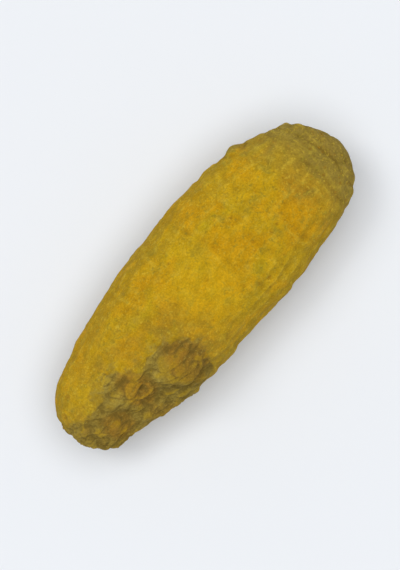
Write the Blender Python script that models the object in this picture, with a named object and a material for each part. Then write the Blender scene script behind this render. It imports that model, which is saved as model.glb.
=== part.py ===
"""A dried turmeric root: one plump finger of the rhizome, lying on its side.

It grew as one piece, so it is one solid. The body is a fat spindle with a nearly straight axis along X. At -X is the
broken base, an oblique corky face with three low knobs where the finger came off its mother root. At +X is the blunt
grown tip, turned up a little. Leaf scars ring the body, close together towards the tip, and between them sit a few
buds and one shoot scar.

Sizes are in millimetres and become metres in the mesh. The origin is on the surface that the root lies on, under the
middle of its bounding box.
"""

import math

import bmesh
import bpy
import numpy as np
from mathutils import Vector, noise

MM = 0.001

# The outline at stations along the root: x, the edge on +Y, the edge on -Y, the top and the underside.
STATIONS = (
    (-24.7, 4.2, -2.1, 10.9, 5.0),
    (-22.9, 6.1, -4.0, 12.6, 3.3),
    (-20.0, 7.2, -4.9, 13.9, 2.2),
    (-16.0, 8.2, -5.9, 15.1, 1.2),
    (-12.0, 9.2, -6.9, 15.8, 0.4),
    (-6.5, 9.8, -7.4, 16.3, -0.2),
    (0.0, 10.1, -7.6, 16.6, -0.1),
    (6.0, 10.0, -7.9, 16.6, 0.1),
    (12.0, 9.4, -7.7, 16.2, 0.8),
    (17.0, 8.2, -7.2, 15.3, 2.2),
    (20.5, 6.7, -6.3, 14.0, 3.7),
    (22.8, 4.6, -4.7, 12.5, 5.6),
    (24.1, 2.2, -2.6, 10.9, 7.6),
)
BASE_POLE = (-25.5, 1.1, 7.9)
TIP_POLE = (24.6, -0.2, 9.3)

RINGS_OF_POINTS = 84
POINTS_A_RING = 60
CURVE_FINENESS = 60

# The broken face: a point on it, and the way that it faces. The same cork wraps the end, round a middle and a radius,
# covers the knobs, and reaches further down on the -Y side, but there no further along than the big knob. It begins a
# little outside the cut.
BREAK_POINT = (-16.0, -2.6, 12.4)
BREAK_FACING = (-0.32, -0.68, 0.70)
BREAK_ROUNDING = 0.28
CORK_END_MIDDLE = (-25.6, -2.5, 8.3)
CORK_END_RADIUS = 5.0
CORK_END_SOFTNESS = 3.0
CORK_SIDE_FROM = -3.8
CORK_SIDE_FULL = -6.4
CORK_SIDE_REACH = 1.3
CORK_SIDE_LAST = -6.4
CORK_SIDE_FADE = 2.0
CORK_EDGE_OUTER = -0.55
CORK_EDGE_INNER = -0.05
CORK_EDGE_RAGGED = 0.4
CORK_EDGE_WAVE = 3.0
CORK_ROUGHNESS = 0.42
CORK_GRAIN = (2.0, 1.5, 1.5)
# How full a knob, a bud or a sunken side is: 1 is a parabola, and more draws its foot out.
DOME_FULLNESS = 1.5

# Knobs on the broken face: x, y, radius and height.
KNOBS = ((-10.6, -3.5, 3.7, 1.8), (-17.0, -1.2, 3.1, 0.9), (-22.0, -2.0, 2.8, 0.9))
KNOB_UNEVEN = 0.9
KNOB_WAVE = 2.6

# Leaf scars: x of each, its lean in mm across the root, and the angle in degrees that it leans towards.
LEAF_SCARS = (
    (-18.6, 0.7, 100),
    (-13.2, 0.9, 60),
    (-7.9, 0.8, 200),
    (-2.7, 1.0, 320),
    (2.5, 0.8, 150),
    (7.3, 0.9, 30),
    (11.7, 0.7, 250),
    (15.4, 0.6, 120),
    (17.9, 0.8, 70),
    (19.9, 1.1, 100),
    (21.4, 1.4, 80),
    (22.6, 1.4, 95),
)
LEAF_SCAR_HEIGHT = 0.22
LEAF_SCAR_RISE = 1.3
LEAF_SCAR_FALL = 0.5
LEAF_SCAR_GROOVE = 0.25
LEAF_SCAR_GROOVE_AT = 0.95
LEAF_SCAR_WAVER = 1.1
SWELL_BETWEEN_SCARS = 0.12
SCAR_FADE_WAVE = (5.0, 4.5, 4.5)
SCAR_FADE_RANGE = (-0.45, 0.45)
TIP_SCARS_FROM = 16.5
TIP_SCARS_FULL = 21.0
TIP_SCARS_SHARE = 0.7
SCAR_WAVER_WAVE = (30.0, 5.0, 5.0)

# Buds on the skin: x, angle in degrees from +Y towards the top, radius and height. A bud is uneven and leans towards
# the tip. One that sinks in is the scar of a shoot.
BUDS = (
    (-3.1, -28, 2.5, 1.15),
    (8.5, 214, 2.2, 0.95),
    (15.0, 12, 1.7, 0.6),
    (-13.6, 150, 1.9, 0.6),
    (23.4, 100, 2.2, 0.5),
    (10.8, 262, 2.4, -0.6),
)
BUD_LEAN = 0.3
BUD_UNEVEN = 0.22
BUD_WAVE = 1.8
SHOOT_SCAR_RIM = 0.4
SHOOT_SCAR_RIM_WIDTH = 0.3

# Sides that sank in as the root dried: x, angle, radius and depth.
SUNKEN_SIDES = ((-1.0, 226, 5.5, 0.6), (-9.0, -42, 6.0, 0.6), (12.5, 62, 6.0, 0.3))

# Slow and quick swellings of the whole body, and the shrinkage wrinkles along it: height, and length of one wave.
SWELLINGS = ((0.4, 11.0), (0.24, 4.6))
SWELLING_STRETCH = 1.5
WRINKLE_DEPTH = 0.34
WRINKLE_LENGTH = 6.5
WRINKLE_SPACING = 2.1

# Where each noise is read from, so that no two of them show the same pattern.
CORK_EDGE_NOISE = 5.2
SCAR_FADE_NOISE = 11.0
SCAR_WAVER_NOISE = 3.7
WRINKLE_NOISE = 20.0
CORK_NOISE = 31.0

REST_SPOT_DEPTH = 0.45
SKIN_COLOUR = (0.47, 0.30, 0.035, 1.0)
SKIN_ROUGHNESS = 0.9


def outline(count):
    """Edges of the body at count stations from pole to pole, poles left out, on one smooth curve that closes round."""
    x, y, z = BASE_POLE
    rows = [(x, y, y, z, z), *STATIONS]
    x, y, z = TIP_POLE
    rows = np.array([*rows, (x, y, y, z, z)])
    swap = [0, 2, 1, 4, 3]
    around = np.vstack([rows[1][swap], rows, rows[-2][swap]])
    knots = np.concatenate([[0], np.cumsum(np.sqrt(np.linalg.norm(np.diff(around, axis=0), axis=1)))])
    tangents = (around[2:] - around[:-2]) / (knots[2:] - knots[:-2])[:, None]
    knots = knots[1:-1]
    fine = np.linspace(knots[0], knots[-1], CURVE_FINENESS * count)
    span = np.clip(np.searchsorted(knots, fine, side="right") - 1, 0, len(rows) - 2)
    width = knots[span + 1] - knots[span]
    t = ((fine - knots[span]) / width)[:, None]
    curve = (
        (2 * t**3 - 3 * t**2 + 1) * rows[span]
        + (t**3 - 2 * t**2 + t) * width[:, None] * tangents[span]
        + (3 * t**2 - 2 * t**3) * rows[span + 1]
        + (t**3 - t**2) * width[:, None] * tangents[span + 1]
    )
    walked = np.concatenate([[0], np.cumsum(np.linalg.norm(np.diff(curve, axis=0), axis=1))])
    wanted = (np.arange(count) + 0.5) / count * walked[-1]
    return np.stack([np.interp(wanted, walked, curve[:, k]) for k in range(5)], axis=1)


def body(rings, around):
    """The plain spindle as a rings by around grid of points."""
    x, left, right, top, under = outline(rings).T[:, :, None]
    angle = np.linspace(0, 2 * math.pi, around, endpoint=False)[None, :]
    y = (left + right) / 2 + (left - right) / 2 * np.cos(angle)
    z = (top + under) / 2 + (top - under) / 2 * np.sin(angle)
    return np.stack([x + 0 * angle, y, z], axis=2)


def outward(grid):
    """Unit normals of a grid of points, pointing out."""
    along = np.gradient(grid, axis=0)
    across = np.roll(grid, -1, axis=1) - np.roll(grid, 1, axis=1)
    normal = np.cross(across, along)
    return normal / np.linalg.norm(normal, axis=2, keepdims=True)


def noise_at(points, stretch, shift=0.0):
    """Smooth noise from -1 to 1 at each point, with stretch as the length of one wave along X, Y and Z."""
    scaled = points / np.array(stretch) + shift
    flat = [noise.noise(Vector(p)) for p in scaled.reshape(-1, 3)]
    return np.array(flat).reshape(points.shape[:-1])


def smooth_step(value, low, high):
    t = np.clip((value - low) / (high - low), 0, 1)
    return t * t * (3 - 2 * t)


def break_facing():
    return np.array(BREAK_FACING) / np.linalg.norm(BREAK_FACING)


def knob_places():
    """The middle of each knob on the broken face, with its radius and its height."""
    facing = break_facing()
    places = []
    for x, y, radius, rise in KNOBS:
        flat = np.array((x, y)) - np.array(BREAK_POINT[:2])
        middle = np.array((x, y, BREAK_POINT[2] - flat @ facing[:2] / facing[2]))
        places.append((middle, radius, rise))
    return places


def cut_break(grid):
    """The grid with the oblique broken face cut into it, and a 0 to 1 mask of the cork there and round the end."""
    facing = break_facing()
    above = (grid - np.array(BREAK_POINT)) @ facing
    inside_end = CORK_END_RADIUS - np.linalg.norm(grid - np.array(CORK_END_MIDDLE), axis=-1)
    side = smooth_step(-grid[..., 1], -CORK_SIDE_FROM, -CORK_SIDE_FULL)
    side *= smooth_step(CORK_SIDE_LAST - grid[..., 0], 0, CORK_SIDE_FADE)
    edge = np.maximum(above + CORK_SIDE_REACH * side, inside_end / CORK_END_SOFTNESS)
    for middle, radius, _ in knob_places():
        edge = np.maximum(edge, (radius - np.linalg.norm(grid - middle, axis=-1)) / CORK_END_SOFTNESS)
    edge += CORK_EDGE_RAGGED * noise_at(grid, (CORK_EDGE_WAVE,) * 3, CORK_EDGE_NOISE)
    kept = -BREAK_ROUNDING * np.logaddexp(0, -above / BREAK_ROUNDING)
    return grid + (kept - above)[..., None] * facing, smooth_step(edge, CORK_EDGE_OUTER, CORK_EDGE_INNER)


def dome(distance, radius):
    """1 in the middle and 0 from radius on, with a full round top."""
    return np.clip(1 - (distance / radius) ** 2, 0, 1) ** DOME_FULLNESS


def knobs(grid):
    """Height of the uneven knobs that stand on the broken face."""
    height = np.zeros(grid.shape[:-1])
    for middle, radius, rise in knob_places():
        uneven = KNOB_UNEVEN * noise_at(grid, (KNOB_WAVE,) * 3, middle[0])
        height += rise * dome(np.linalg.norm(grid - middle, axis=-1) + uneven, radius)
    return height


def leaf_scars(grid, angle):
    """Height of the ring ridges, each with a groove on its tip side, and the swell between one and the next."""
    height = np.zeros(grid.shape[:-1])
    fade = smooth_step(noise_at(grid, SCAR_FADE_WAVE, SCAR_FADE_NOISE), *SCAR_FADE_RANGE)
    fade = np.maximum(fade, TIP_SCARS_SHARE * smooth_step(grid[..., 0], TIP_SCARS_FROM, TIP_SCARS_FULL))
    waver = LEAF_SCAR_WAVER * noise_at(grid, SCAR_WAVER_WAVE, SCAR_WAVER_NOISE)
    lines = []
    for x, lean, towards in LEAF_SCARS:
        line = x + lean * np.cos(angle - math.radians(towards)) + waver
        past = grid[..., 0] - line
        lines.append(past)
        ridge = np.exp(-((past / np.where(past < 0, LEAF_SCAR_RISE, LEAF_SCAR_FALL)) ** 2))
        groove = np.exp(-(((past - LEAF_SCAR_GROOVE_AT) / LEAF_SCAR_FALL) ** 2))
        height += LEAF_SCAR_HEIGHT * fade * (ridge - LEAF_SCAR_GROOVE * groove)
    for before, after in zip(lines, lines[1:]):
        share = np.clip(before / (before - after), 0, 1)
        height += SWELL_BETWEEN_SCARS * np.sin(math.pi * share) ** 2
    return height


def skin_point(x, degrees):
    """The point of the plain spindle at x, at an angle from +Y towards the top."""
    edges = outline(RINGS_OF_POINTS)
    left, right, top, under = [np.interp(x, edges[:, 0], edges[:, k]) for k in range(1, 5)]
    y = (left + right) / 2 + (left - right) / 2 * math.cos(math.radians(degrees))
    z = (top + under) / 2 + (top - under) / 2 * math.sin(math.radians(degrees))
    return np.array((x, y, z))


def buds(plain):
    """Height of the buds on the skin, and of the shoot scar, which is a hollow with a low rim."""
    height = np.zeros(plain.shape[:-1])
    for x, degrees, radius, rise in BUDS:
        away = plain - skin_point(x, degrees)
        distance = np.linalg.norm(away, axis=-1) / radius
        if rise > 0:
            lean = BUD_LEAN * away[..., 0] / radius
            uneven = BUD_UNEVEN * noise_at(plain, (BUD_WAVE,) * 3, x)
            height += rise * dome(distance + (uneven - lean) * np.exp(-(distance**2)), 1)
        else:
            rim = np.exp(-(((distance - 1) / SHOOT_SCAR_RIM_WIDTH) ** 2))
            height += rise * (dome(distance, 1) - SHOOT_SCAR_RIM * rim)
    return height


def sunken_sides(plain):
    height = np.zeros(plain.shape[:-1])
    for x, degrees, radius, depth in SUNKEN_SIDES:
        distance = np.linalg.norm(plain - skin_point(x, degrees), axis=-1)
        height -= depth * dome(distance, radius)
    return height


def root_grid(rings, around):
    """Points of the finished surface, before it is set down."""
    plain = body(rings, around)
    angle = np.linspace(0, 2 * math.pi, around, endpoint=False)[None, :]
    grid, cork = cut_break(plain)
    height = (1 - cork) * (leaf_scars(plain, angle) + buds(plain)) + sunken_sides(plain)
    for rise, wave in SWELLINGS:
        height += rise * noise_at(plain, (SWELLING_STRETCH * wave, wave, wave), wave)
    wrinkle = noise_at(plain, (WRINKLE_LENGTH, WRINKLE_SPACING, WRINKLE_SPACING), WRINKLE_NOISE)
    height -= (1 - cork) * WRINKLE_DEPTH * np.abs(wrinkle)
    rough = noise_at(plain, CORK_GRAIN, CORK_NOISE)
    height += cork * (knobs(grid) + CORK_ROUGHNESS * rough)
    return grid + height[..., None] * outward(grid)


def set_down(points):
    """The points moved so that the root lies on z = 0, on a small flat spot, with its bounding box centred."""
    points = points.copy()
    points[:, 2] -= points[:, 2].min() + REST_SPOT_DEPTH
    points[:, 2] = np.maximum(points[:, 2], 0)
    points[:, :2] -= (points[:, :2].min(axis=0) + points[:, :2].max(axis=0)) / 2
    return points


def root_mesh(rings, around):
    grid = root_grid(rings, around)
    poles = np.array([grid[0].mean(axis=0), grid[-1].mean(axis=0)])
    points = set_down(np.vstack([grid.reshape(-1, 3), poles]))
    made = bmesh.new()
    verts = [made.verts.new(p) for p in points * MM]
    base, tip = verts[-2], verts[-1]
    for j in range(around):
        k = (j + 1) % around
        made.faces.new((base, verts[k], verts[j]))
        for i in range(rings - 1):
            row, after = i * around, (i + 1) * around
            made.faces.new((verts[row + j], verts[row + k], verts[after + k], verts[after + j]))
        last = (rings - 1) * around
        made.faces.new((tip, verts[last + j], verts[last + k]))
    bmesh.ops.recalc_face_normals(made, faces=made.faces)
    bmesh.ops.triangulate(made, faces=made.faces)
    mesh = bpy.data.meshes.new("turmeric_root")
    made.to_mesh(mesh)
    made.free()
    mesh.shade_smooth()
    return mesh


def skin_material():
    material = bpy.data.materials.new("dusty_skin")
    material.use_nodes = True
    shader = material.node_tree.nodes["Principled BSDF"]
    shader.inputs["Base Color"].default_value = SKIN_COLOUR
    shader.inputs["Roughness"].default_value = SKIN_ROUGHNESS
    shader.inputs["Metallic"].default_value = 0.0
    return material


def main():
    for old in list(bpy.data.objects):
        bpy.data.objects.remove(old)
    root = bpy.data.objects.new("turmeric_root", root_mesh(RINGS_OF_POINTS, POINTS_A_RING))
    root.data.materials.append(skin_material())
    bpy.context.scene.collection.objects.link(root)


main()
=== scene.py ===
"""The looks of a dried turmeric root: its finished surface, dusty skin and cork, floor, lights and camera.

The surface comes from the same formulas and values as the solid, on a finer grid. It then gets the small
relief that the solid leaves out: fibre lines, shrinkage lines, pits, a mealy crumb, fine folds round the tip
and on the knobs, and torn cork. Lengths are in millimetres and angles in degrees until the mesh is made,
which is in metres.
"""

import math
from dataclasses import dataclass

import bpy
import numpy as np
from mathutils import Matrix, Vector, noise

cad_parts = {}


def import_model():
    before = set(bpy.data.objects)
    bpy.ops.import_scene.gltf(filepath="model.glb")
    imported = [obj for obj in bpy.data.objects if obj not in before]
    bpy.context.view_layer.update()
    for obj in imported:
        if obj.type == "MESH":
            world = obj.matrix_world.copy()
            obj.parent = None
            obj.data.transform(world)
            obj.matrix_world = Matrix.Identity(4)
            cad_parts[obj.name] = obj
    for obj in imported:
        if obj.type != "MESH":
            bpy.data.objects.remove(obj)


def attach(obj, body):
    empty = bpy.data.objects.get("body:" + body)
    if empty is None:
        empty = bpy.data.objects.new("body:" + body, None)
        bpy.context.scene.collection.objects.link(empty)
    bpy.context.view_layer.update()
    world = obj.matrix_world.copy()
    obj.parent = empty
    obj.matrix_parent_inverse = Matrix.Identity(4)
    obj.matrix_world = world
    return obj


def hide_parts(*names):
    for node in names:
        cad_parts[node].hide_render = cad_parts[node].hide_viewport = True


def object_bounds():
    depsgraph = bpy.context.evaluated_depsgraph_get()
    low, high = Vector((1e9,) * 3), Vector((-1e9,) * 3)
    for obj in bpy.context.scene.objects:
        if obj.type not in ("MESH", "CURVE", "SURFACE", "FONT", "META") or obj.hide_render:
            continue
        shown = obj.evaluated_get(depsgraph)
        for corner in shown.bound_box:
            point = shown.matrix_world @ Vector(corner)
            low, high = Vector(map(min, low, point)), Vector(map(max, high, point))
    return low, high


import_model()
cad_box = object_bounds()

MM = 0.001

# The outline at stations along the root: x, the edge on +Y, the edge on -Y, the top and the underside.
STATIONS = (
    (-24.7, 4.2, -2.1, 10.9, 5.0),
    (-22.9, 6.1, -4.0, 12.6, 3.3),
    (-20.0, 7.2, -4.9, 13.9, 2.2),
    (-16.0, 8.2, -5.9, 15.1, 1.2),
    (-12.0, 9.2, -6.9, 15.8, 0.4),
    (-6.5, 9.8, -7.4, 16.3, -0.2),
    (0.0, 10.1, -7.6, 16.6, -0.1),
    (6.0, 10.0, -7.9, 16.6, 0.1),
    (12.0, 9.4, -7.7, 16.2, 0.8),
    (17.0, 8.2, -7.2, 15.3, 2.2),
    (20.5, 6.7, -6.3, 14.0, 3.7),
    (22.8, 4.6, -4.7, 12.5, 5.6),
    (24.1, 2.2, -2.6, 10.9, 7.6),
)
BASE_POLE = (-25.5, 1.1, 7.9)
TIP_POLE = (24.6, -0.2, 9.3)

RINGS_OF_POINTS = 330
POINTS_A_RING = 300
CURVE_FINENESS = 60

# The broken face: a point on it, and the way that it faces. The same cork wraps the end, round a middle and a
# radius, covers the knobs, and reaches further down on the -Y side, but there no further along than the big
# knob. It begins a little outside the cut.
BREAK_POINT = (-16.0, -2.6, 12.4)
BREAK_FACING = (-0.32, -0.68, 0.70)
BREAK_ROUNDING = 0.28
CORK_END_MIDDLE = (-25.6, -2.5, 8.3)
CORK_END_RADIUS = 5.0
CORK_END_SOFTNESS = 3.0
CORK_SIDE_FROM = -3.8
CORK_SIDE_FULL = -6.4
CORK_SIDE_REACH = 1.3
CORK_SIDE_LAST = -6.4
CORK_SIDE_FADE = 2.0
CORK_EDGE_OUTER = -0.55
CORK_EDGE_INNER = -0.05
CORK_EDGE_RAGGED = 0.4
CORK_EDGE_WAVE = 3.0
CORK_ROUGHNESS = 0.42
CORK_GRAIN = (2.0, 1.5, 1.5)

# How full a knob, a bud or a sunken side is: 1 is a parabola, and more draws its foot out.
DOME_FULLNESS = 1.5

# Knobs on the broken face: x, y, radius and height. A noise makes each uneven.
KNOBS = ((-10.6, -3.5, 3.7, 1.8), (-17.0, -1.2, 3.1, 0.9), (-22.0, -2.0, 2.8, 0.9))
KNOB_UNEVEN = 0.9
KNOB_WAVE = 2.6

# Folds that ring each knob: height, its least share on the side away from the tip, the distance from one to
# the next, and where their middle lies from the knob's.
FOLD_HEIGHT = 0.1
FOLD_LEAST_SHARE = 0.3
FOLD_SPACING = 1.0
FOLD_SHIFT = (1.5, -0.4, 0.0)

# Masks of a knob's foot and of its side towards the tip. The foot is where the knob has a small share of its
# height, give or take a width. Where the side begins and is full along X, and how far it reaches, is in radii
# from the middle.
FOOT_AT = 0.1
FOOT_WIDTH = 0.1
TIP_SIDE_FROM = -0.35
TIP_SIDE_FULL = 0.65
TIP_SIDE_REACH = 1.45

# Leaf scars: x of each, its lean in mm across the root, and the angle in degrees that it leans towards. Each
# is a wavering ridge with a groove and a darker line past it. It fades in places, least at the tip.
LEAF_SCARS = (
    (-18.6, 0.7, 100),
    (-13.2, 0.9, 60),
    (-7.9, 0.8, 200),
    (-2.7, 1.0, 320),
    (2.5, 0.8, 150),
    (7.3, 0.9, 30),
    (11.7, 0.7, 250),
    (15.4, 0.6, 120),
    (17.9, 0.8, 70),
    (19.9, 1.1, 100),
    (21.4, 1.4, 80),
    (22.6, 1.4, 95),
)
LEAF_SCAR_HEIGHT = 0.22
LEAF_SCAR_RISE = 1.3
LEAF_SCAR_FALL = 0.5
LEAF_SCAR_GROOVE = 0.25
LEAF_SCAR_GROOVE_AT = 0.95
LEAF_SCAR_WAVER = 1.1
RING_LINE_WIDTH = 0.2
SWELL_BETWEEN_SCARS = 0.12
SCAR_FADE_WAVE = (5.0, 4.5, 4.5)
SCAR_FADE_RANGE = (-0.45, 0.45)
TIP_SCARS_FROM = 16.5
TIP_SCARS_FULL = 21.0
TIP_SCARS_SHARE = 0.7
SCAR_WAVER_WAVE = (30.0, 5.0, 5.0)

# Buds on the skin: x, angle in degrees from +Y towards the top, radius and height. A bud is uneven, leans
# towards the tip and has scale rings round it. One that sinks in is the scar of a shoot, with a low rim.
BUDS = (
    (-3.1, -28, 2.5, 1.15),
    (8.5, 214, 2.2, 0.95),
    (15.0, 12, 1.7, 0.6),
    (-13.6, 150, 1.9, 0.6),
    (23.4, 100, 2.2, 0.5),
    (10.8, 262, 2.4, -0.6),
)
BUD_LEAN = 0.3
BUD_UNEVEN = 0.22
BUD_WAVE = 1.8
BUD_RING_HEIGHT = 0.03
BUD_RINGS = 2.2
BUD_FOOT_WIDTH = 0.14
SHOOT_SCAR_RIM = 0.4
SHOOT_SCAR_RIM_WIDTH = 0.3

# Sides that sank in as the root dried: x, angle, radius and depth.
SUNKEN_SIDES = ((-1.0, 226, 5.5, 0.6), (-9.0, -42, 6.0, 0.6), (12.5, 62, 6.0, 0.3))

# Slow and quick swellings of the whole body, and the shrinkage wrinkles along it: their height or depth, and
# the length of one wave.
SWELLINGS = ((0.4, 11.0), (0.24, 4.6))
SWELLING_STRETCH = 1.5
WRINKLE_DEPTH = 0.34
WRINKLE_LENGTH = 6.5
WRINKLE_SPACING = 2.1

# Where each noise is read from, so that no two of them show the same pattern.
CORK_EDGE_NOISE = 5.2
SCAR_FADE_NOISE = 11.0
SCAR_WAVER_NOISE = 3.7
WRINKLE_NOISE = 20.0
CORK_NOISE = 31.0

REST_SPOT_DEPTH = 0.45

# Small relief of the skin: its height, and the length of one wave along X and across it. Patches have fibre
# lines, and the rest has shrinkage lines. Lips are low lumps along the leaf scars.
FIBRE_HEIGHT = 0.045
FIBRE_WAVE = (0.55, 7.0, 7.0)
SHRINK_HEIGHT = 0.06
SHRINK_WAVE = (5.0, 0.8, 0.8)
CRUMB_HEIGHT = 0.05
CRUMB_WAVE = 1.1
CRUMB_OCTAVES = 3
LUMP_HEIGHT = 0.09
LUMP_WAVE = 2.3
PATCH_WAVE = 5.0
PATCH_RANGE = (-0.3, 0.4)
TIP_FOLD_HEIGHT = 0.07
TIP_FOLD_SPACING = 1.4
TIP_FOLD_WAVE = 4.0
TIP_FOLD_WAVER = 1.5
LIP_HEIGHT = 0.05
LIP_WAVE = (0.9, 0.7, 0.7)

# Small relief of the cork: lumps, crumbs, and torn layers, which are steps with a share of level tread.
CORK_LUMP_HEIGHT = 0.24
CORK_LUMP_WAVE = (2.0, 1.3, 1.3)
CORK_LAYER_HEIGHT = 0.13
CORK_LAYER_WAVE = (2.5, 1.8, 1.8)
CORK_LAYERS_EACH_WAY = 2
CORK_LAYER_OCTAVES = 4
CORK_LAYER_TREAD = 0.7
CORK_CRUMB_HEIGHT = 0.07
CORK_CRUMB_WAVE = 0.5

# Cracks in the cork, on the zero lines of a noise: depth, wave lengths, width in the noise's own measure, and
# where the noise is read from.
CRACKS = ((0.13, (2.8, 1.6, 1.6), 0.08, 71.0), (0.07, (1.2, 0.9, 0.9), 0.1, 79.0))

# Pits that rootlets left: how many, smallest and largest radius, and depth and height of the rim as shares of
# the radius. Where the rim is, how wide it is and how far a pit reaches is in radii.
PITS = ((9, 0.3, 0.5, 0.3, 0.1), (520, 0.1, 0.24, 0.4, 0.05))
PIT_RIM_AT = 1.25
PIT_RIM_WIDTH = 0.35
PIT_REACH = 2.0
PIT_SEED = 11

# Where the small relief's noises are read from.
FIBRE_NOISE = 41.0
SHRINK_NOISE = 47.0
CRUMB_NOISE = 53.0
LUMP_NOISE = 59.0
PATCH_NOISE = 61.0
LIP_NOISE = 67.0
TIP_FOLD_NOISE = 83.0
CORK_LUMP_NOISE = 89.0
CORK_LAYER_NOISE = 97.0
CORK_CRUMB_NOISE = 73.0

# The two blurs that tell hollows from humps: reach in steps of the grid, and the depth that counts as full.
NEAR_REACH = 2
FAR_REACH = 7
NEAR_HOLLOW_SCALE = 0.05
FAR_HOLLOW_SCALE = 0.16

# How far inside the cork's edge, or outside it where negative, the stain begins and is full, and the same for
# the cork's own colour.
STAIN_FROM = -2.6
STAIN_FULL = -0.4
CORK_COLOUR_FROM = -0.8
CORK_COLOUR_FULL = 0.3

# Colours, as linear red, green and blue.
GOLD = (0.52, 0.33, 0.008)
ORANGE = (0.54, 0.29, 0.005)
STRAW = (0.58, 0.42, 0.040)
OLIVE = (0.30, 0.228, 0.020)
# The next colour is both the painted shade of the flanks and the colour of the leaf scars' ring lines.
FLANK_SHADE_AND_RING_LINE = (0.35, 0.218, 0.009)
GREEN = (0.40, 0.32, 0.010)
# The colour of the painted highlight on top.
TOP_HIGHLIGHT = (0.60, 0.385, 0.009)
RUST = (0.33, 0.155, 0.006)
DARK = (0.14, 0.085, 0.010)
STAIN = (0.32, 0.205, 0.022)
TIP_SCALE = (0.235, 0.171, 0.034)
CORK = (0.27, 0.180, 0.026)
CORK_PALE = (0.37, 0.275, 0.050)
CORK_RED = (0.33, 0.168, 0.016)
CORK_DARK = (0.155, 0.102, 0.017)
FLOOR = (0.80, 0.82, 0.85)
FLOOR_DIMMER = (0.78, 0.80, 0.83)
ROOM = (0.93, 0.96, 1.0)

# A painted highlight, a brighter patch on top: its middle and its radius.
TOP_HIGHLIGHT_MIDDLE = (0.0, 0.6, 16.0)
TOP_HIGHLIGHT_RADIUS = 7.0

# The room's brightness at the horizon and overhead, and the sines of the elevations between which it falls.
ROOM_AT_HORIZON = 0.9
ROOM_OVERHEAD = 0.28
ROOM_FALL = (0.04, 0.35)

# Sockets of the node that mixes colours: the first colour, the second and the result.
MIX_FIRST = 6
MIX_SECOND = 7
MIX_RESULT = 2

# Soft suns: name, azimuth, elevation and width in the sky in degrees, and watts on a square metre.
LIGHTS = (
    ("key", 105, 61, 22, 0.55),
    ("overhead", 0, 88, 60, 2.05),
)

# In metres: how far from the root the suns stand, and the side of the floor.
LIGHT_DISTANCE = 1.0
FLOOR_SIDE = 6.0

# The camera: lens and sensor, the height in mm that the picture covers, and the root's slope in it.
LENS = 200.0
SENSOR = 36.0
PICTURE_HEIGHT = 72.0
ROOT_SLOPE = 50.2


def outline(count):
    """Edges of the body at count stations between its poles, on one smooth curve that closes round."""
    x, y, z = BASE_POLE
    rows = [(x, y, y, z, z), *STATIONS]
    x, y, z = TIP_POLE
    rows = np.array([*rows, (x, y, y, z, z)])
    # Past a pole the curve runs on with its sides swapped, so it closes round there.
    swap = [0, 2, 1, 4, 3]
    around = np.vstack([rows[1][swap], rows, rows[-2][swap]])
    knots = np.concatenate([[0], np.cumsum(np.sqrt(np.linalg.norm(np.diff(around, axis=0), axis=1)))])
    tangents = (around[2:] - around[:-2]) / (knots[2:] - knots[:-2])[:, None]
    knots = knots[1:-1]
    fine = np.linspace(knots[0], knots[-1], CURVE_FINENESS * count)
    span = np.clip(np.searchsorted(knots, fine, side="right") - 1, 0, len(rows) - 2)
    width = knots[span + 1] - knots[span]
    t = ((fine - knots[span]) / width)[:, None]
    curve = (
        (2 * t**3 - 3 * t**2 + 1) * rows[span]
        + (t**3 - 2 * t**2 + t) * width[:, None] * tangents[span]
        + (3 * t**2 - 2 * t**3) * rows[span + 1]
        + (t**3 - t**2) * width[:, None] * tangents[span + 1]
    )
    walked = np.concatenate([[0], np.cumsum(np.linalg.norm(np.diff(curve, axis=0), axis=1))])
    wanted = (np.arange(count) + 0.5) / count * walked[-1]
    return np.stack([np.interp(wanted, walked, curve[:, k]) for k in range(5)], axis=1)


def body(rings, around):
    """The plain spindle as a rings by around grid of points."""
    x, left, right, top, under = outline(rings).T[:, :, None]
    angle = np.linspace(0, 2 * math.pi, around, endpoint=False)[None, :]
    y = (left + right) / 2 + (left - right) / 2 * np.cos(angle)
    z = (top + under) / 2 + (top - under) / 2 * np.sin(angle)
    return np.stack([x + 0 * angle, y, z], axis=2)


def outward(grid):
    """Unit normals of a grid of points, pointing out."""
    along = np.gradient(grid, axis=0)
    across = np.roll(grid, -1, axis=1) - np.roll(grid, 1, axis=1)
    normal = np.cross(across, along)
    return normal / np.linalg.norm(normal, axis=2, keepdims=True)


def noise_at(points, stretch, shift=0.0):
    """Smooth noise from -1 to 1 at each point, with stretch as the length of one wave along X, Y and Z."""
    scaled = points / np.array(stretch) + shift
    flat = [noise.noise(Vector(p)) for p in scaled.reshape(-1, 3)]
    return np.array(flat).reshape(points.shape[:-1])


def layered_noise(points, wave, octaves, shift):
    """Noise with finer layers on top, each half as long and half as high as the one before."""
    scaled = points / np.array(wave) + shift
    flat = [noise.fractal(Vector(p), 1.0, 2.0, octaves) for p in scaled.reshape(-1, 3)]
    return np.array(flat).reshape(points.shape[:-1])


def smooth_step(value, low, high):
    t = np.clip((value - low) / (high - low), 0, 1)
    return t * t * (3 - 2 * t)


def break_facing():
    return np.array(BREAK_FACING) / np.linalg.norm(BREAK_FACING)


def knob_places():
    """The middle of each knob on the broken face, with its radius and its height."""
    facing = break_facing()
    places = []
    for x, y, radius, rise in KNOBS:
        flat = np.array((x, y)) - np.array(BREAK_POINT[:2])
        middle = np.array((x, y, BREAK_POINT[2] - flat @ facing[:2] / facing[2]))
        places.append((middle, radius, rise))
    return places


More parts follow.
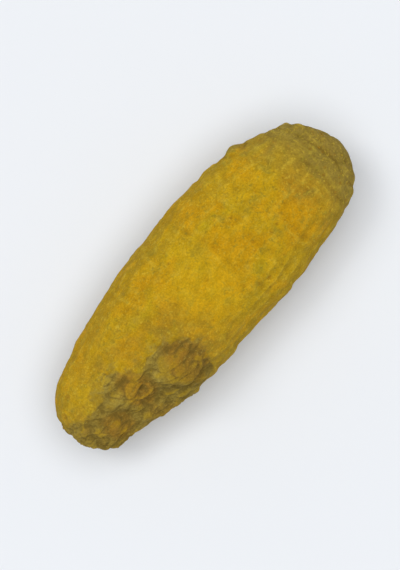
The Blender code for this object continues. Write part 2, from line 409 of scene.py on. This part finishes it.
def cut_break(grid):
    """The grid with the oblique broken face cut into it, and how far each point is inside the cork's edge."""
    facing = break_facing()
    above = (grid - np.array(BREAK_POINT)) @ facing
    inside_end = CORK_END_RADIUS - np.linalg.norm(grid - np.array(CORK_END_MIDDLE), axis=-1)
    side = smooth_step(-grid[..., 1], -CORK_SIDE_FROM, -CORK_SIDE_FULL)
    side *= smooth_step(CORK_SIDE_LAST - grid[..., 0], 0, CORK_SIDE_FADE)
    edge = np.maximum(above + CORK_SIDE_REACH * side, inside_end / CORK_END_SOFTNESS)
    for middle, radius, _ in knob_places():
        edge = np.maximum(edge, (radius - np.linalg.norm(grid - middle, axis=-1)) / CORK_END_SOFTNESS)
    edge += CORK_EDGE_RAGGED * noise_at(grid, (CORK_EDGE_WAVE,) * 3, CORK_EDGE_NOISE)
    kept = -BREAK_ROUNDING * np.logaddexp(0, -above / BREAK_ROUNDING)
    return grid + (kept - above)[..., None] * facing, edge


def dome(distance, radius):
    """1 in the middle and 0 from radius on, with a full round top."""
    return np.clip(1 - (distance / radius) ** 2, 0, 1) ** DOME_FULLNESS


def knobs(grid):
    """Height of the knobs and their folds, the folds from -1 to 1, and masks of tip sides and feet."""
    height = np.zeros(grid.shape[:-1])
    folds = np.zeros(grid.shape[:-1])
    tip_sides = np.zeros(grid.shape[:-1])
    feet = np.zeros(grid.shape[:-1])
    for middle, radius, rise in knob_places():
        uneven = KNOB_UNEVEN * noise_at(grid, (KNOB_WAVE,) * 3, middle[0])
        distance = np.linalg.norm(grid - middle, axis=-1)
        near = dome(distance + uneven, radius)
        half_way_up = 4 * near * (1 - near)
        ring = np.linalg.norm(grid - middle - np.array(FOLD_SHIFT), axis=-1) + uneven
        tip_side = smooth_step((grid[..., 0] - middle[0]) / radius, TIP_SIDE_FROM, TIP_SIDE_FULL)
        fold = half_way_up * np.cos(2 * math.pi * ring / FOLD_SPACING)
        fold *= FOLD_LEAST_SHARE + (1 - FOLD_LEAST_SHARE) * tip_side
        height += rise * near + FOLD_HEIGHT * fold
        folds += fold
        tip_sides += tip_side * dome(distance, TIP_SIDE_REACH * radius)
        feet += np.exp(-(((near - FOOT_AT) / FOOT_WIDTH) ** 2)) * (near > 0)
    return height, folds, tip_sides, feet


def leaf_scars(grid, angle):
    """Height of the ring ridges and the swell between them, and masks of the ridges and the lines by them."""
    height = np.zeros(grid.shape[:-1])
    ridges = np.zeros(grid.shape[:-1])
    grooves = np.zeros(grid.shape[:-1])
    fade = smooth_step(noise_at(grid, SCAR_FADE_WAVE, SCAR_FADE_NOISE), *SCAR_FADE_RANGE)
    fade = np.maximum(fade, TIP_SCARS_SHARE * smooth_step(grid[..., 0], TIP_SCARS_FROM, TIP_SCARS_FULL))
    waver = LEAF_SCAR_WAVER * noise_at(grid, SCAR_WAVER_WAVE, SCAR_WAVER_NOISE)
    lines = []
    for x, lean, towards in LEAF_SCARS:
        line = x + lean * np.cos(angle - math.radians(towards)) + waver
        past = grid[..., 0] - line
        lines.append(past)
        ridge = np.exp(-((past / np.where(past < 0, LEAF_SCAR_RISE, LEAF_SCAR_FALL)) ** 2))
        groove = np.exp(-(((past - LEAF_SCAR_GROOVE_AT) / LEAF_SCAR_FALL) ** 2))
        height += LEAF_SCAR_HEIGHT * fade * (ridge - LEAF_SCAR_GROOVE * groove)
        ridges = np.maximum(ridges, fade * np.exp(-((past / LEAF_SCAR_FALL) ** 2)))
        grooves = np.maximum(grooves, np.exp(-(((past - LEAF_SCAR_GROOVE_AT) / RING_LINE_WIDTH) ** 2)))
    for before, after in zip(lines, lines[1:]):
        share = np.clip(before / (before - after), 0, 1)
        height += SWELL_BETWEEN_SCARS * np.sin(math.pi * share) ** 2
    return height, ridges, grooves


def skin_point(x, degrees):
    """The point of the plain spindle at x, at an angle from +Y towards the top."""
    edges = outline(RINGS_OF_POINTS)
    left, right, top, under = [np.interp(x, edges[:, 0], edges[:, k]) for k in range(1, 5)]
    y = (left + right) / 2 + (left - right) / 2 * math.cos(math.radians(degrees))
    z = (top + under) / 2 + (top - under) / 2 * math.sin(math.radians(degrees))
    return np.array((x, y, z))


def buds(plain):
    """Height of the buds and of the shoot scar, and masks of them and of their feet."""
    height = np.zeros(plain.shape[:-1])
    bud = np.zeros(plain.shape[:-1])
    foot = np.zeros(plain.shape[:-1])
    for x, degrees, radius, rise in BUDS:
        away = plain - skin_point(x, degrees)
        distance = np.linalg.norm(away, axis=-1) / radius
        if rise > 0:
            lean = BUD_LEAN * away[..., 0] / radius
            uneven = BUD_UNEVEN * noise_at(plain, (BUD_WAVE,) * 3, x)
            distance += (uneven - lean) * np.exp(-(distance**2))
            rings = np.sin(2 * math.pi * BUD_RINGS * distance) * np.exp(-(distance**2))
            height += rise * (dome(distance, 1) + BUD_RING_HEIGHT * rings)
        else:
            rim = np.exp(-(((distance - 1) / SHOOT_SCAR_RIM_WIDTH) ** 2))
            height += rise * (dome(distance, 1) - SHOOT_SCAR_RIM * rim)
        bud += dome(distance, 1)
        foot += np.exp(-(((distance - 1) / BUD_FOOT_WIDTH) ** 2))
    return height, bud, foot


def sunken_sides(plain):
    height = np.zeros(plain.shape[:-1])
    for x, degrees, radius, depth in SUNKEN_SIDES:
        distance = np.linalg.norm(plain - skin_point(x, degrees), axis=-1)
        height -= depth * dome(distance, radius)
    return height


def tip_folds(plain):
    """Height of the fine folds that ring the grown tip."""
    waver = noise_at(plain, (TIP_FOLD_WAVE,) * 3, TIP_FOLD_NOISE)
    fold = np.sin(2 * math.pi * (plain[..., 0] + TIP_FOLD_WAVER * waver) / TIP_FOLD_SPACING)
    patch = smooth_step(noise_at(plain, (TIP_FOLD_WAVE,) * 3, -TIP_FOLD_NOISE), *PATCH_RANGE)
    return TIP_FOLD_HEIGHT * patch * smooth_step(plain[..., 0], TIP_SCARS_FROM, TIP_SCARS_FULL) * fold


def pits(plain):
    """Height of the pits that rootlets left and of their rims, and a 0 to 1 mask of the pits."""
    draw = np.random.default_rng(PIT_SEED)
    height = np.zeros(plain.shape[:-1])
    mask = np.zeros(plain.shape[:-1])
    station = plain[:, 0, 0]
    for count, smallest, largest, depth_share, rim_share in PITS:
        for _ in range(count):
            x = draw.uniform(station[0], station[-1])
            degrees = draw.uniform(0, 360)
            radius = smallest + (largest - smallest) * draw.random() ** 2
            reach = PIT_REACH * radius
            first, last = np.searchsorted(station, (x - reach, x + reach))
            distance = np.linalg.norm(plain[first:last] - skin_point(x, degrees), axis=-1) / radius
            hollow = np.exp(-(distance**4))
            rim = np.exp(-(((distance - PIT_RIM_AT) / PIT_RIM_WIDTH) ** 2))
            height[first:last] += radius * (rim_share * rim - depth_share * hollow)
            mask[first:last] = np.maximum(mask[first:last], hollow)
    return height, mask


def cracks(grid):
    """Height of the winding cracks in the cork, and a 0 to 1 mask of them."""
    height = np.zeros(grid.shape[:-1])
    mask = np.zeros(grid.shape[:-1])
    for depth, wave, width, shift in CRACKS:
        line = np.exp(-((noise_at(grid, wave, shift) / width) ** 2))
        height -= depth * line
        mask = np.maximum(mask, depth / CRACKS[0][0] * line)
    return height, mask


def torn_layers(grid):
    """Height of the torn layers of the cork: noise cut into steps with soft treads."""
    level = CORK_LAYERS_EACH_WAY * layered_noise(grid, CORK_LAYER_WAVE, CORK_LAYER_OCTAVES, CORK_LAYER_NOISE)
    step = np.floor(level) + smooth_step(level - np.floor(level), CORK_LAYER_TREAD, 1)
    return CORK_LAYER_HEIGHT * step


def small_relief(plain, grid, cork, scar):
    """Height of the small relief of skin and cork, and the masks of the pits and of the cracks."""
    patch = smooth_step(noise_at(plain, (PATCH_WAVE,) * 3, PATCH_NOISE), *PATCH_RANGE)
    skin = FIBRE_HEIGHT * patch * noise_at(plain, FIBRE_WAVE, FIBRE_NOISE)
    skin += SHRINK_HEIGHT * (1 - patch) * noise_at(plain, SHRINK_WAVE, SHRINK_NOISE)
    skin += CRUMB_HEIGHT * layered_noise(grid, CRUMB_WAVE, CRUMB_OCTAVES, CRUMB_NOISE)
    skin += LUMP_HEIGHT * noise_at(grid, (LUMP_WAVE,) * 3, LUMP_NOISE)
    skin += LIP_HEIGHT * scar * noise_at(grid, LIP_WAVE, LIP_NOISE)
    skin += tip_folds(plain)
    pit_height, pit = pits(plain)
    skin += pit_height
    bark, crack = cracks(grid)
    bark += torn_layers(grid)
    bark += CORK_LUMP_HEIGHT * noise_at(grid, CORK_LUMP_WAVE, CORK_LUMP_NOISE)
    bark += CORK_CRUMB_HEIGHT * noise_at(grid, (CORK_CRUMB_WAVE,) * 3, CORK_CRUMB_NOISE)
    return (1 - cork) * skin + cork * bark, (1 - cork) * pit, cork * crack


def root_grid(rings, around):
    """Points of the finished surface, before it is set down, and the masks that its material reads."""
    plain = body(rings, around)
    angle = np.linspace(0, 2 * math.pi, around, endpoint=False)[None, :]
    grid, edge = cut_break(plain)
    cork = smooth_step(edge, CORK_EDGE_OUTER, CORK_EDGE_INNER)
    stain = smooth_step(edge, STAIN_FROM, STAIN_FULL)
    scars, scar, ring_line = leaf_scars(plain, angle)
    bud_height, bud, bud_foot = buds(plain)
    height = (1 - cork) * (scars + bud_height) + sunken_sides(plain)
    for rise, wave in SWELLINGS:
        height += rise * noise_at(plain, (SWELLING_STRETCH * wave, wave, wave), wave)
    wrinkle = noise_at(plain, (WRINKLE_LENGTH, WRINKLE_SPACING, WRINKLE_SPACING), WRINKLE_NOISE)
    height -= (1 - cork) * WRINKLE_DEPTH * np.abs(wrinkle)
    rough = noise_at(plain, CORK_GRAIN, CORK_NOISE)
    knob_height, fold, knob_side, knob_foot = knobs(grid)
    height += cork * (knob_height + CORK_ROUGHNESS * rough)
    fine, pit, crack = small_relief(plain, grid, cork, scar)
    grid = grid + (height + fine)[..., None] * outward(grid)
    masks = {"stain": stain, "ring_line": ring_line, "pit": pit, "crack": crack, "fold": fold}
    masks["cork"] = smooth_step(edge, CORK_COLOUR_FROM, CORK_COLOUR_FULL)
    masks["knob_side"] = np.clip(knob_side, 0, 1)
    masks["knob_foot"] = np.clip(knob_foot, 0, 1)
    masks["bud"] = bud
    masks["bud_foot"] = bud_foot
    # The mask of the painted highlight on top.
    masks["painted_highlight"] = dome(np.linalg.norm(plain - np.array(TOP_HIGHLIGHT_MIDDLE), axis=-1), TOP_HIGHLIGHT_RADIUS)
    return grid, masks


def blurred(grid, reach):
    """The mean of each point of the grid and its neighbours up to reach steps away."""
    rows = np.pad(grid, ((reach, reach), (0, 0), (0, 0)), mode="edge")
    total = sum(rows[k : k + len(grid)] for k in range(2 * reach + 1)) / (2 * reach + 1)
    return sum(np.roll(total, k, axis=1) for k in range(-reach, reach + 1)) / (2 * reach + 1)


def hollowness(grid, reach, scale):
    """How far each point lies under the mean of its neighbours, as a share of scale, from -1 to 1."""
    depth = ((blurred(grid, reach) - grid) * outward(grid)).sum(axis=-1)
    return np.clip((depth - np.median(depth)) / scale, -1, 1)


def set_down(points):
    """The points moved so that the root lies on z = 0, on a small flat spot, with its box centred."""
    points = points.copy()
    points[:, 2] -= points[:, 2].min() + REST_SPOT_DEPTH
    points[:, 2] = np.maximum(points[:, 2], 0)
    points[:, :2] -= (points[:, :2].min(axis=0) + points[:, :2].max(axis=0)) / 2
    return points


def grid_faces(rings, around):
    """Faces of a closed grid of points, facing out. The last two points are the base and tip poles."""
    base, tip = rings * around, rings * around + 1
    last = (rings - 1) * around
    faces = []
    for j in range(around):
        k = (j + 1) % around
        faces.append((base, k, j))
        for row in range(0, last, around):
            faces.append((row + j, row + k, row + around + k, row + around + j))
        faces.append((tip, last + j, last + k))
    return faces


def root_mesh(rings, around):
    grid, masks = root_grid(rings, around)
    # Hollowness and facing are kept for the material, which paints shade into the hollows and onto the flanks
    # with them, and lays gold dust on the cork's humps.
    masks["near_hollow"] = hollowness(grid, NEAR_REACH, NEAR_HOLLOW_SCALE)
    masks["far_hollow"] = hollowness(grid, FAR_REACH, FAR_HOLLOW_SCALE)
    masks["facing_up"] = outward(grid)[..., 2]
    poles = np.array([grid[0].mean(axis=0), grid[-1].mean(axis=0)])
    points = set_down(np.vstack([grid.reshape(-1, 3), poles]))
    mesh = bpy.data.meshes.new("turmeric_finger")
    mesh.from_pydata((points * MM).tolist(), [], grid_faces(rings, around))
    for name, values in masks.items():
        ends = [values[0].mean(), values[-1].mean()]
        attribute = mesh.attributes.new(name, "FLOAT", "POINT")
        attribute.data.foreach_set("value", np.concatenate([values.ravel(), ends]).astype(np.float32))
    mesh.shade_smooth()
    return mesh


@dataclass(frozen=True)
class Grain:
    """Noise from 0 to 1. Its waves are about wave mm long, divided by fineness along X, Y and Z."""

    wave: float
    detail: float = 2.0
    roughness: float = 0.5
    fineness: tuple = (1, 1, 1)


@dataclass(frozen=True)
class Specks:
    """Distance to the nearest of a scatter of points about spacing mm apart, as a share of spacing."""

    spacing: float


@dataclass(frozen=True)
class Along:
    """How far along an axis a point lies, in metres."""

    axis: str


@dataclass(frozen=True)
class Sum:
    """Two sources added up."""

    first: object
    second: object


@dataclass(frozen=True)
class Band:
    """A source read from low to high and sent smoothly to the range from least to most. Both may fall."""

    source: object
    low: float
    high: float
    least: float = 0.0
    most: float = 1.0


# Where the olive scale of the grown tip shows, as a share, with a ragged edge.
TIP_SHARE = Band(
    Sum(Along("X"), Band(Grain(3.0, 4.0), 0.0, 1.0, -2.5 * MM, 2.5 * MM)), 14.5 * MM, 21.8 * MM, 0.0, 0.85
)

# The skin: two ground colours and the second one's share, the layers over them in order, and the greys that
# they are multiplied by. A layer has a name, a colour, and the factors that its share is the product of.
SKIN_GROUND = (GOLD, ORANGE, Band(Grain(8.0, 3.0), 0.39, 0.59))
SKIN_LAYERS = (
    ("green patches", GREEN, Band(Grain(5.0, 3.0, fineness=(0.6, 1, 1)), 0.5, 0.75, 0.0, 0.7)),
    # Painted shade on the flanks, darker the less they face up; partly also thinner dust there.
    ("painted shade on the flanks", FLANK_SHADE_AND_RING_LINE, Band("facing_up", 0.35, 1.0, 0.8, 0.0)),
    ("orange blotches", ORANGE, Band(Grain(2.9, 3.0, 0.6), 0.52, 0.66, 0.0, 0.55)),
    ("olive blotches", OLIVE, Band(Grain(2.2, 3.0, 0.6), 0.54, 0.7, 0.0, 0.55)),
    ("olive tip", TIP_SCALE, TIP_SHARE),
    ("mealy patches", STRAW, Band(Grain(1.3, 4.0, 0.65), 0.5, 0.75, 0.0, 0.4)),
    # Painted shade: the skin is darker in wide and narrow hollows.
    ("painted shade in wide hollows", RUST, Band("far_hollow", 0.2, 1.0, 0.0, 0.16)),
    ("painted shade in narrow hollows", DARK, Band("near_hollow", 0.1, 1.0, 0.0, 0.14)),
    # Painted highlight: the crests of small humps are lighter.
    ("painted highlight on crests", STRAW, Band("near_hollow", -0.1, -0.9, 0.0, 0.3)),
    ("ring lines", FLANK_SHADE_AND_RING_LINE, "ring_line", Band(Grain(1.3, 4.0, 0.6), 0.42, 0.62, 0.0, 0.2)),
    ("ring lines of the tip", DARK, "ring_line", Band(Grain(1.6, 4.0, 0.6), 0.38, 0.6, 0.1, 0.6), TIP_SHARE),
    ("scaly buds", TIP_SCALE, Band("bud", 0.1, 0.7), Band(Grain(0.9, 3.0), 0.3, 0.6, 0.1, 0.6)),
    # Painted shade: a dark ring round the foot of each bud.
    ("painted shade at the feet of the buds", DARK, "bud_foot", Band(Grain(0.8, 3.0), 0.35, 0.6, 0.1, 0.45)),
    ("rootlet pits", RUST, "pit", 0.4),
    ("rusty specks", RUST, Band(Specks(1.15), 0.16, 0.07, 0.0, 0.4)),
    ("stain round the cork", STAIN, "stain", Band(Grain(1.9, 4.0, 0.6), 0.35, 0.65, 0.12, 0.72)),
    ("red skin by the knobs", CORK_RED, Band("knob_side", 0.02, 0.4, 0.0, 0.35)),
    ("olive crumbs", OLIVE, Band(Grain(0.55, 3.0, 0.6), 0.55, 0.7, 0.0, 0.6)),
    ("pale crumbs", STRAW, Band(Grain(0.4, 2.0, 0.6), 0.42, 0.3, 0.0, 0.5)),
    # Painted highlight: a brighter patch in the middle of the top.
    ("painted highlight on top", TOP_HIGHLIGHT, "painted_highlight", Band(Grain(2.6, 3.0), 0.3, 0.6, 0.25, 0.6)),
)
SKIN_GREYS = (Band(Grain(1.4, 2.0), 0.3, 0.7, 0.9, 1.07), Band(Grain(0.24, 3.0, 0.7), 0.25, 0.75, 0.8, 1.18))

# The cork in the same way: painted shade in its hollows, cracks and folds, round the feet of its knobs and
# towards -Y, and dusted with gold where it stands out.
CORK_GROUND = (CORK, CORK_PALE, Band(Grain(1.7, 4.0, 0.6), 0.35, 0.65))
CORK_LAYERS = (
    ("red patches", CORK_RED, Band(Grain(3.4, 3.0), 0.5, 0.65, 0.0, 0.5)),
    ("red sides of the knobs", CORK_RED, Band("knob_side", 0.02, 0.4, 0.0, 0.8)),
    # Painted shade: a dark ring round the foot of each knob.
    ("painted shade at the feet of the knobs", CORK_DARK, "knob_foot", 0.35),
    # Painted shade: the cork is darker in wide and narrow hollows.
    ("painted shade in wide hollows", CORK_DARK, Band("far_hollow", 0.0, 0.9, 0.0, 0.4)),
    ("painted shade in narrow hollows", CORK_DARK, Band("near_hollow", 0.0, 1.0, 0.0, 0.3)),
    ("dark end", CORK_DARK, Band(Along("X"), -18.0 * MM, -23.0 * MM, 0.0, 0.35)),
    # Painted shadow: the cork is darker towards -Y.
    ("painted shadow towards -Y", CORK_DARK, Band(Along("Y"), -2.5 * MM, -7.0 * MM, 0.0, 0.45)),
    ("golden dust", GOLD, Band("far_hollow", 0.2, -0.7), Band(Grain(2.4, 4.0), 0.35, 0.65), 0.38),
    # Painted shade: darker in the troughs of the folds round the knobs.
    ("painted shade between the folds", CORK_DARK, Band(Grain(1.5, 3.0), 0.35, 0.6, 0.0, 0.45), Band("fold", -0.1, -0.8)),
    # Painted shade: darker in the cracks.
    ("cracks", CORK_DARK, Band("crack", 0.1, 0.9, 0.0, 0.4)),
    ("dark crumbs", CORK_DARK, Band(Grain(0.6, 3.0, 0.65), 0.54, 0.7, 0.0, 0.4)),
    ("pale crumbs", CORK_PALE, Band(Grain(0.45, 3.0, 0.65), 0.42, 0.3, 0.0, 0.6)),
)
CORK_GREYS = (Band(Grain(0.26, 4.0, 0.75), 0.25, 0.75, 0.76, 1.26),)

# The share of cork in the colour, with a ragged edge, and how rough and how glossy the surface is all over.
CORK_SHARE = Band(Sum("cork", Band(Grain(1.3, 4.0, 0.65), 0.25, 0.75, -0.4, 0.4)), 0.25, 0.75)
ROUGHNESS = Band(Grain(1.0, 3.0), 0.3, 0.7, 0.8, 0.97)
SPECULAR = 0.08
DIFFUSE_ROUGHNESS = 0.6

# Bumps too fine for the mesh: the grain that they follow, their height and their strength.
BUMPS = ((Grain(0.28, 4.0, 0.7), 0.11, 0.9), (Grain(0.8, 3.0, 0.6), 0.1, 0.6))

# The floor: faint patches of its two colours, and how rough and how glossy it is.
FLOOR_PATCHES = Grain(60.0)
FLOOR_ROUGHNESS = 0.7
FLOOR_SPECULAR = 0.2


class Nodes:
    """A material and its nodes. A source is one of the classes above, the name of a mask, or a number."""

    def __init__(self, name):
        self.material = bpy.data.materials.new(name)
        self.material.use_nodes = True
        self.tree = self.material.node_tree
        self.shader = self.tree.nodes["Principled BSDF"]
        self.place = self.tree.nodes.new("ShaderNodeTexCoord").outputs["Object"]
        self.made = {}

    def add(self, kind, **settings):
        node = self.tree.nodes.new(kind)
        for name, value in settings.items():
            setattr(node, name, value)
        return node

    def join(self, value, socket):
        if isinstance(value, bpy.types.NodeSocket):
            self.tree.links.new(value, socket)
        else:
            socket.default_value = value

    def value(self, source):
        """The socket that gives a source, made only once. A number or a socket stays as it is."""
        if isinstance(source, (float, bpy.types.NodeSocket)):
            return source
        if source not in self.made:
            self.made[source] = self.make(source)
        return self.made[source]

    def make(self, source):
        match source:
            case str():
                return self.add("ShaderNodeAttribute", attribute_name=source).outputs["Fac"]
            case Grain():
                return self.grain(source)
            case Specks():
                node = self.add("ShaderNodeTexVoronoi")
                self.join(self.place, node.inputs["Vector"])
                node.inputs["Scale"].default_value = 1 / (source.spacing * MM)
                return node.outputs["Distance"]
            case Along():
                node = self.add("ShaderNodeSeparateXYZ")
                self.join(self.place, node.inputs["Vector"])
                return node.outputs[source.axis]
            case Sum():
                return self.calculate("ADD", source.first, source.second)
            case Band():
                node = self.add("ShaderNodeMapRange", interpolation_type="SMOOTHSTEP")
                given = (self.value(source.source), source.low, source.high, source.least, source.most)
                for socket, value in zip(node.inputs, given):
                    self.join(value, socket)
                return node.outputs["Result"]

    def grain(self, source):
        place = self.add("ShaderNodeMapping")
        place.inputs["Scale"].default_value = source.fineness
        self.join(self.place, place.inputs["Vector"])
        node = self.add("ShaderNodeTexNoise")
        self.join(place.outputs["Vector"], node.inputs["Vector"])
        node.inputs["Scale"].default_value = 1 / (source.wave * MM)
        node.inputs["Detail"].default_value = source.detail
        node.inputs["Roughness"].default_value = source.roughness
        return node.outputs["Fac"]

    def calculate(self, operation, first, second):
        node = self.add("ShaderNodeMath", operation=operation)
        self.join(self.value(first), node.inputs[0])
        self.join(self.value(second), node.inputs[1])
        return node.outputs["Value"]

    def product(self, factors):
        """The product of one or more sources."""
        total = self.value(factors[0])
        for factor in factors[1:]:
            total = self.calculate("MULTIPLY", total, factor)
        return total

    def mix(self, share, first, second, blend="MIX", label=""):
        node = self.add("ShaderNodeMix", data_type="RGBA", blend_type=blend, label=label)
        self.join(share, node.inputs[0])
        self.join(first, node.inputs[MIX_FIRST])
        self.join(second, node.inputs[MIX_SECOND])
        return node.outputs[MIX_RESULT]

    def paint(self, ground, layers, greys):
        """The colour that a ground of two mixed colours, layers over it and greys near 1 make together."""
        first, second, share = ground
        colour = self.mix(self.value(share), (*first, 1.0), (*second, 1.0))
        for name, over, *factors in layers:
            colour = self.mix(self.product(factors), colour, (*over, 1.0), label=name)
        for grey in greys:
            colour = self.mix(1.0, colour, self.value(grey), "MULTIPLY")
        return colour

    def bump(self, height, distance, strength, before):
        """A bump on top of the bumps before it, if there are any."""
        node = self.add("ShaderNodeBump")
        node.inputs["Strength"].default_value = strength
        node.inputs["Distance"].default_value = distance * MM
        self.join(self.value(height), node.inputs["Height"])
        if before is not None:
            self.join(before, node.inputs["Normal"])
        return node.outputs["Normal"]


def root_material():
    nodes = Nodes("dusty_turmeric_skin")
    skin = nodes.paint(SKIN_GROUND, SKIN_LAYERS, SKIN_GREYS)
    cork = nodes.paint(CORK_GROUND, CORK_LAYERS, CORK_GREYS)
    colour = nodes.mix(nodes.value(CORK_SHARE), skin, cork)
    nodes.join(colour, nodes.shader.inputs["Base Color"])
    nodes.join(nodes.value(ROUGHNESS), nodes.shader.inputs["Roughness"])
    nodes.join(SPECULAR, nodes.shader.inputs["Specular IOR Level"])
    nodes.join(DIFFUSE_ROUGHNESS, nodes.shader.inputs["Diffuse Roughness"])
    normal = None
    for height, distance, strength in BUMPS:
        normal = nodes.bump(height, distance, strength, normal)
    nodes.join(normal, nodes.shader.inputs["Normal"])
    return nodes.material


def floor_material():
    nodes = Nodes("pale_floor")
    colour = nodes.mix(nodes.value(FLOOR_PATCHES), (*FLOOR, 1.0), (*FLOOR_DIMMER, 1.0))
    nodes.join(colour, nodes.shader.inputs["Base Color"])
    nodes.join(FLOOR_ROUGHNESS, nodes.shader.inputs["Roughness"])
    nodes.join(FLOOR_SPECULAR, nodes.shader.inputs["Specular IOR Level"])
    return nodes.material


def root_piece():
    root = bpy.data.objects.new("turmeric_finger", root_mesh(RINGS_OF_POINTS, POINTS_A_RING))
    bpy.context.scene.collection.objects.link(root)
    root.data.materials.append(root_material())
    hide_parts("turmeric_root")
    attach(root, "root")


def floor():
    half = FLOOR_SIDE / 2
    mesh = bpy.data.meshes.new("floor")
    corners = [(-half, -half, 0), (half, -half, 0), (half, half, 0), (-half, half, 0)]
    mesh.from_pydata(corners, [], [(0, 1, 2, 3)])
    mesh.materials.append(floor_material())
    made = bpy.data.objects.new("floor", mesh)
    bpy.context.scene.collection.objects.link(made)


def place_of(azimuth, elevation, distance, middle):
    """The point at a distance from middle, at an azimuth from +X towards +Y and an elevation."""
    a, e = math.radians(azimuth), math.radians(elevation)
    return middle + distance * Vector((math.cos(a) * math.cos(e), math.sin(a) * math.cos(e), math.sin(e)))


def lights(middle):
    for name, azimuth, elevation, width, watts in LIGHTS:
        lamp = bpy.data.lights.new(name, "SUN")
        lamp.angle = math.radians(width)
        lamp.energy = watts
        made = bpy.data.objects.new(name, lamp)
        made.location = place_of(azimuth, elevation, LIGHT_DISTANCE, middle)
        made.rotation_euler = (made.location - middle).to_track_quat("Z", "Y").to_euler()
        bpy.context.scene.collection.objects.link(made)


def world():
    """A pale room with bright walls and a dimmer ceiling."""
    made = bpy.data.worlds.new("pale_room")
    made.use_nodes = True
    nodes, links = made.node_tree.nodes, made.node_tree.links
    background = nodes["Background"]
    background.inputs["Color"].default_value = (*ROOM, 1.0)
    direction = nodes.new("ShaderNodeTexCoord").outputs["Generated"]
    axis = nodes.new("ShaderNodeSeparateXYZ")
    links.new(direction, axis.inputs["Vector"])
    fall = nodes.new("ShaderNodeMapRange")
    fall.interpolation_type = "SMOOTHSTEP"
    for socket, value in zip(fall.inputs[1:], (*ROOM_FALL, ROOM_AT_HORIZON, ROOM_OVERHEAD)):
        socket.default_value = value
    links.new(axis.outputs["Z"], fall.inputs["Value"])
    links.new(fall.outputs["Result"], background.inputs["Strength"])
    bpy.context.scene.world = made


def camera(middle):
    """Straight above the root, turned so that it lies from the picture's lower left to its upper right."""
    lens = bpy.data.cameras.new("camera")
    lens.lens = LENS
    lens.sensor_width = SENSOR
    made = bpy.data.objects.new("camera", lens)
    made.location = middle + Vector((0, 0, PICTURE_HEIGHT * MM * LENS / SENSOR))
    made.rotation_euler = (0, 0, -math.radians(ROOT_SLOPE))
    bpy.context.scene.collection.objects.link(made)
    bpy.context.scene.camera = made


def main():
    low, high = cad_box
    middle = (low + high) / 2
    camera(middle)
    root_piece()
    floor()
    lights(middle)
    world()
    bpy.context.scene.view_settings.view_transform = "Standard"


main()
